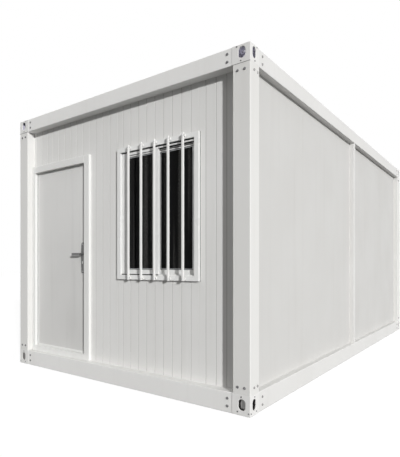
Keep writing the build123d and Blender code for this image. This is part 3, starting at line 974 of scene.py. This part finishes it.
def box_where(name, keep):
    """Lowest and highest corner of those vertices of a node that pass a test."""
    places = [vertex.co for vertex in frame["nodes"][name].data.vertices if keep(vertex.co)]
    low = Vector([min(place[axis] for place in places) for axis in range(3)])
    high = Vector([max(place[axis] for place in places) for axis in range(3)])
    return low, high


def woven_pile(name, dark, pale):
    """Short woven pile: upright fibres of slightly different greys, without gloss."""
    material, tree, place = new_finish(name)
    fibres = noise(tree, place, scale=900.0, detail=2.0, stretch=(1.0, 1.0, 0.1))
    lay_coat(tree, {
        "Base Color": blend(tree, fibres, dark, pale),
        "Normal": emboss(tree, fibres, strength=0.4, depth=0.0005),
        "Roughness": 0.9,
        "Specular IOR Level": 0.1,
    })
    return material


window_low, window_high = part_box("window_frame")
sash_low, sash_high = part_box("window_sashes")
sash_middle_y = (sash_low.y + sash_high.y) / 2
outer_sash = box_where("window_sashes", lambda place: place.y < sash_middle_y)
inner_sash = box_where("window_sashes", lambda place: place.y > sash_middle_y)
outer_pane = box_where("window_panes", lambda place: place.y < sash_middle_y)
inner_pane = box_where("window_panes", lambda place: place.y > sash_middle_y)
gasket_width = 0.006
gasket_thickness = 0.003
gasket_ease = 0.0005
bead_width = 0.004
# painted shade: a black strip on each sash's top rail stands in for the shade under the frame's head
top_rail_shade_rise = 0.010
top_rail_shade_height = 0.008
top_rail_shade_proud = 0.0012
gasket_and_shade_blocks = []
glazing_bead_blocks = []
inset = Vector((gasket_width, 0.0, gasket_width))
for pane_low, pane_high in (outer_pane, inner_pane):
    gasket_low = Vector((pane_low.x, pane_low.y - gasket_thickness, pane_low.z))
    gasket_high = Vector((pane_high.x, pane_low.y, pane_high.z))
    gasket_and_shade_blocks += band(gasket_low, gasket_high, gasket_width)
    glazing_bead_blocks += band(gasket_low + inset, gasket_high - inset, bead_width)
for sash, (pane_low, pane_high) in ((outer_sash, outer_pane), (inner_sash, inner_pane)):
    rail_face = sash[0].y
    level = pane_high.z + top_rail_shade_rise
    gasket_and_shade_blocks.append((
        (pane_low.x, rail_face - top_rail_shade_proud, level),
        (pane_high.x, rail_face, level + top_rail_shade_height),
    ))
gaskets = block_piece("glazing_gaskets_and_rail_shade", gasket_and_shade_blocks, gasket_ease, rubber)
ride_on(gaskets, "cabin")
glazing_beads = block_piece("glazing_beads", glazing_bead_blocks, gasket_ease, zinc)
ride_on(glazing_beads, "cabin")

pile = woven_pile("dark woven pile", (0.012, 0.012, 0.012, 1.0), (0.05, 0.05, 0.05, 1.0))
edge_margin = 0.001
light_low, light_high = box_where(
    "window_frame",
    lambda place: place.y < window_low.y + edge_margin
    and window_low.x + edge_margin < place.x < window_high.x - edge_margin,
)
pile_inset = 0.0015
pile_depth = 0.006
pile_play = 0.0004
pile_ease = 0.0005
inner_rail_shade_drop = 0.008
inner_rail_shade_height = 0.010
inner_rail_shade_proud = 0.002
outer_low, outer_high = outer_sash
inner_low, inner_high = inner_sash
pile_near = outer_low.y + pile_inset
pile_far = pile_near + pile_depth
inner_rail_shade_top = inner_high.z - inner_rail_shade_drop
# painted shade: the last block is a proud strip of dark pile on the inner sash's top rail, standing in
# for the shade line under the head
pile_and_shade_blocks = [
    ((light_low.x, pile_near, outer_high.z + pile_play), (light_high.x, pile_far, light_high.z)),
    ((light_low.x, pile_near, light_low.z), (outer_high.x, pile_far, outer_low.z - pile_play)),
    (
        (outer_high.x, inner_low.y - inner_rail_shade_proud, inner_rail_shade_top - inner_rail_shade_height),
        (inner_high.x, inner_low.y, inner_rail_shade_top),
    ),
]
ride_on(block_piece("track_pile_and_rail_shade", pile_and_shade_blocks, pile_ease, pile), "cabin")

block_height = 0.012
block_depth = 0.012
block_gap = 0.004
block_ease = 0.001
block_low = (outer_high.x + block_gap, pile_near, outer_high.z - block_height)
block_high = (light_high.x, pile_near + block_depth, outer_high.z)
lift_block = block_piece("anti_lift_block", [(block_low, block_high)], block_ease, window_white)
ride_on(lift_block, "cabin")

# painted shade: the bead round the frame is black, which deepens the shade lines at the frame's edges
frame_seam_radius = 0.004
frame_line = [
    (window_low.x, wall_face, window_low.z),
    (window_high.x, wall_face, window_low.z),
    (window_high.x, wall_face, window_high.z),
    (window_low.x, wall_face, window_high.z),
    (window_low.x, wall_face, window_low.z),
]
window_sealant = line_piece("window_sealant", [frame_line])
grow(window_sealant, sealant_beads, {"Radius": frame_seam_radius, "Finish": rubber})
face_outwards(window_sealant)
ride_on(window_sealant, "cabin")

# Window bars: five square steel bars that guard the window from outside.
# Solid square bar, sprayed white, held off the frame by a spacer near each end and screwed
# through it.


def bar_tree(name):
    """A tree that sweeps a rounded square section along each line, and repeats the bar in a row."""
    sizes = {"Count": "Int", "Step": "Vector", "Side": "Float", "Edge Radius": "Float"}
    tree, given = new_tree(name, {"Lines": "Geometry", **sizes, "Finish": "Material"}, "Bars")
    row = add_node(tree, "GeometryNodeMeshLine", {"Count": given["Count"], "Offset": given["Step"]})
    line = add_node(tree, "GeometryNodeMeshToCurve", {"Mesh": given["Lines"]}).outputs["Curve"]
    square = oblong(tree, given["Side"], given["Side"])
    rounding = {"Curve": square, "Radius": given["Edge Radius"], "Count": 3}
    section = add_node(tree, "GeometryNodeFilletCurve", rounding, mode="POLY").outputs["Curve"]
    bars = copy_to(tree, row.outputs["Mesh"], swept(tree, line, section, caps=True))
    end_tree(tree, bars, given["Finish"], "Bars")
    return tree


bar_count = 5
bar_side = 0.019
bar_edge_radius = 0.002
bar_stand_off = 0.018
bar_shift = 0.0145
bar_rise = 0.006
spacer_from_end = 0.016
bar_screw_sizes = {
    "Head Width": 0.009,
    "Head Height": 0.0022,
    "Washer Width": 0.011,
    "Washer Height": 0.0006,
}
bar_step = (window_high.x - window_low.x) / (bar_count + 1)
first_x = window_low.x + bar_step + bar_shift
bar_y = window_low.y - bar_stand_off - bar_side / 2
bar_bottom = window_low.z
bar_top = window_high.z + bar_rise
spacer_levels = (bar_bottom + spacer_from_end, bar_top - bar_rise - spacer_from_end)
bar_lines = [[(first_x, bar_y, bar_bottom), (first_x, bar_y, bar_top)]]
for level in spacer_levels:
    bar_lines.append([(first_x, bar_y, level), (first_x, window_low.y, level)])
window_bars = line_piece("window_bars", bar_lines)
grow(window_bars, bar_tree("bar row"), {
    "Count": bar_count,
    "Step": (bar_step, 0.0, 0.0),
    "Side": bar_side,
    "Edge Radius": bar_edge_radius,
    "Finish": frame_paint,
})
face_outwards(window_bars)
ride_on(window_bars, "cabin")
bar_screw_seats = []
for number in range(bar_count):
    across = first_x + number * bar_step
    for level in spacer_levels:
        bar_screw_seats.append(((across, bar_y - bar_side / 2, level), (0, -1, 0)))
set_fixings("bar_screws", bar_screw_seats, round_screws, bar_screw_sizes, zinc, seed=9, body="cabin")

# Studio: a pale floor that keeps the shadow, a white surround, a low key light and a soft fill.
# The camera stands where the photograph was taken, level, with its frame shifted.
floor_half = 40.0
floor_level = -0.0005
floor_mesh = bpy.data.meshes.new("studio_floor")
floor_corners = [(-1, -1), (1, -1), (1, 1), (-1, 1)]
floor_points = [(x * floor_half, y * floor_half, floor_level) for x, y in floor_corners]
floor_mesh.from_pydata(floor_points, [], [(0, 1, 2, 3)])
studio_floor = new_piece("studio_floor", floor_mesh)


def seen_rays(tree):
    """1 for the rays that see the surround: from the camera, from gloss and through glass."""
    path = add_node(tree, "ShaderNodeLightPath").outputs
    either = math_on(tree, "MAXIMUM", path["Is Camera Ray"], path["Is Glossy Ray"])
    return math_on(tree, "MAXIMUM", either, path["Is Transmission Ray"])


plain_white = (1.0, 1.0, 1.0, 1.0)
floor_grey = (0.2, 0.2, 0.2, 1.0)
floor_glow = 0.86
floor_finish, floor_tree, _ = new_finish("pale studio floor")
lay_coat(floor_tree, {
    "Base Color": floor_grey,
    "Roughness": 0.9,
    "Specular IOR Level": 0.0,
    "Emission Color": plain_white,
    "Emission Strength": math_on(floor_tree, "MULTIPLY", seen_rays(floor_tree), floor_glow),
})
floor_mesh.materials.append(floor_finish)

horizon_light = 0.12
zenith_light = 0.7
world = bpy.data.worlds.new("white surround")
bpy.context.scene.world = world
world.use_nodes = True
sky_tree = world.node_tree
direction = add_node(sky_tree, "ShaderNodeTexCoord").outputs["Generated"]
upward = add_node(sky_tree, "ShaderNodeSeparateXYZ", {"Vector": direction}).outputs["Z"]
ambient = spread(sky_tree, upward, (0.0, 1.0), (horizon_light, zenith_light))
brightness = spread(sky_tree, seen_rays(sky_tree), (0.0, 1.0), (ambient, 1.0))
sky = sky_tree.nodes["Background"]
feed(sky_tree, sky.inputs["Color"], plain_white)
feed(sky_tree, sky.inputs["Strength"], brightness)

key_direction = Vector((0.80, -0.533, 0.277))
key_strength = math.pi
key_spread = math.radians(2.5)
key_lamp = bpy.data.lights.new("key", "SUN")
key_lamp.energy = key_strength
key_lamp.angle = key_spread
key = new_piece("key", key_lamp)
key.rotation_euler = key_direction.to_track_quat("Z", "Y").to_euler()

fill_place = Vector((5.5, -2.6, 1.6))
fill_aim = Vector((1.0, 0.0, 0.05))
fill_power = 14.0
fill_size = 2.5
fill_lamp = bpy.data.lights.new("fill", "AREA")
fill_lamp.energy = fill_power
fill_lamp.size = fill_size
fill = new_piece("fill", fill_lamp)
fill.location = fill_place
fill.rotation_euler = fill_aim.to_track_quat("Z", "Y").to_euler()
fill.visible_camera = False

camera_place = Vector((3.005, -6.1495, 1.176))
camera_yaw = math.radians(40.13)
photo_height = 457
focal_pixels = 437.9
centre_offset = (61.5, 36.4)
sensor = 36.0
lens = bpy.data.cameras.new("photo camera")
lens.sensor_width = sensor
lens.lens = focal_pixels * sensor / photo_height
lens.shift_x = centre_offset[0] / photo_height
lens.shift_y = centre_offset[1] / photo_height
camera = new_piece("photo_camera", lens)
camera.location = camera_place
camera.rotation_euler = (math.pi / 2, 0.0, camera_yaw)
bpy.context.scene.camera = camera
bpy.context.scene.view_settings.view_transform = "Standard"
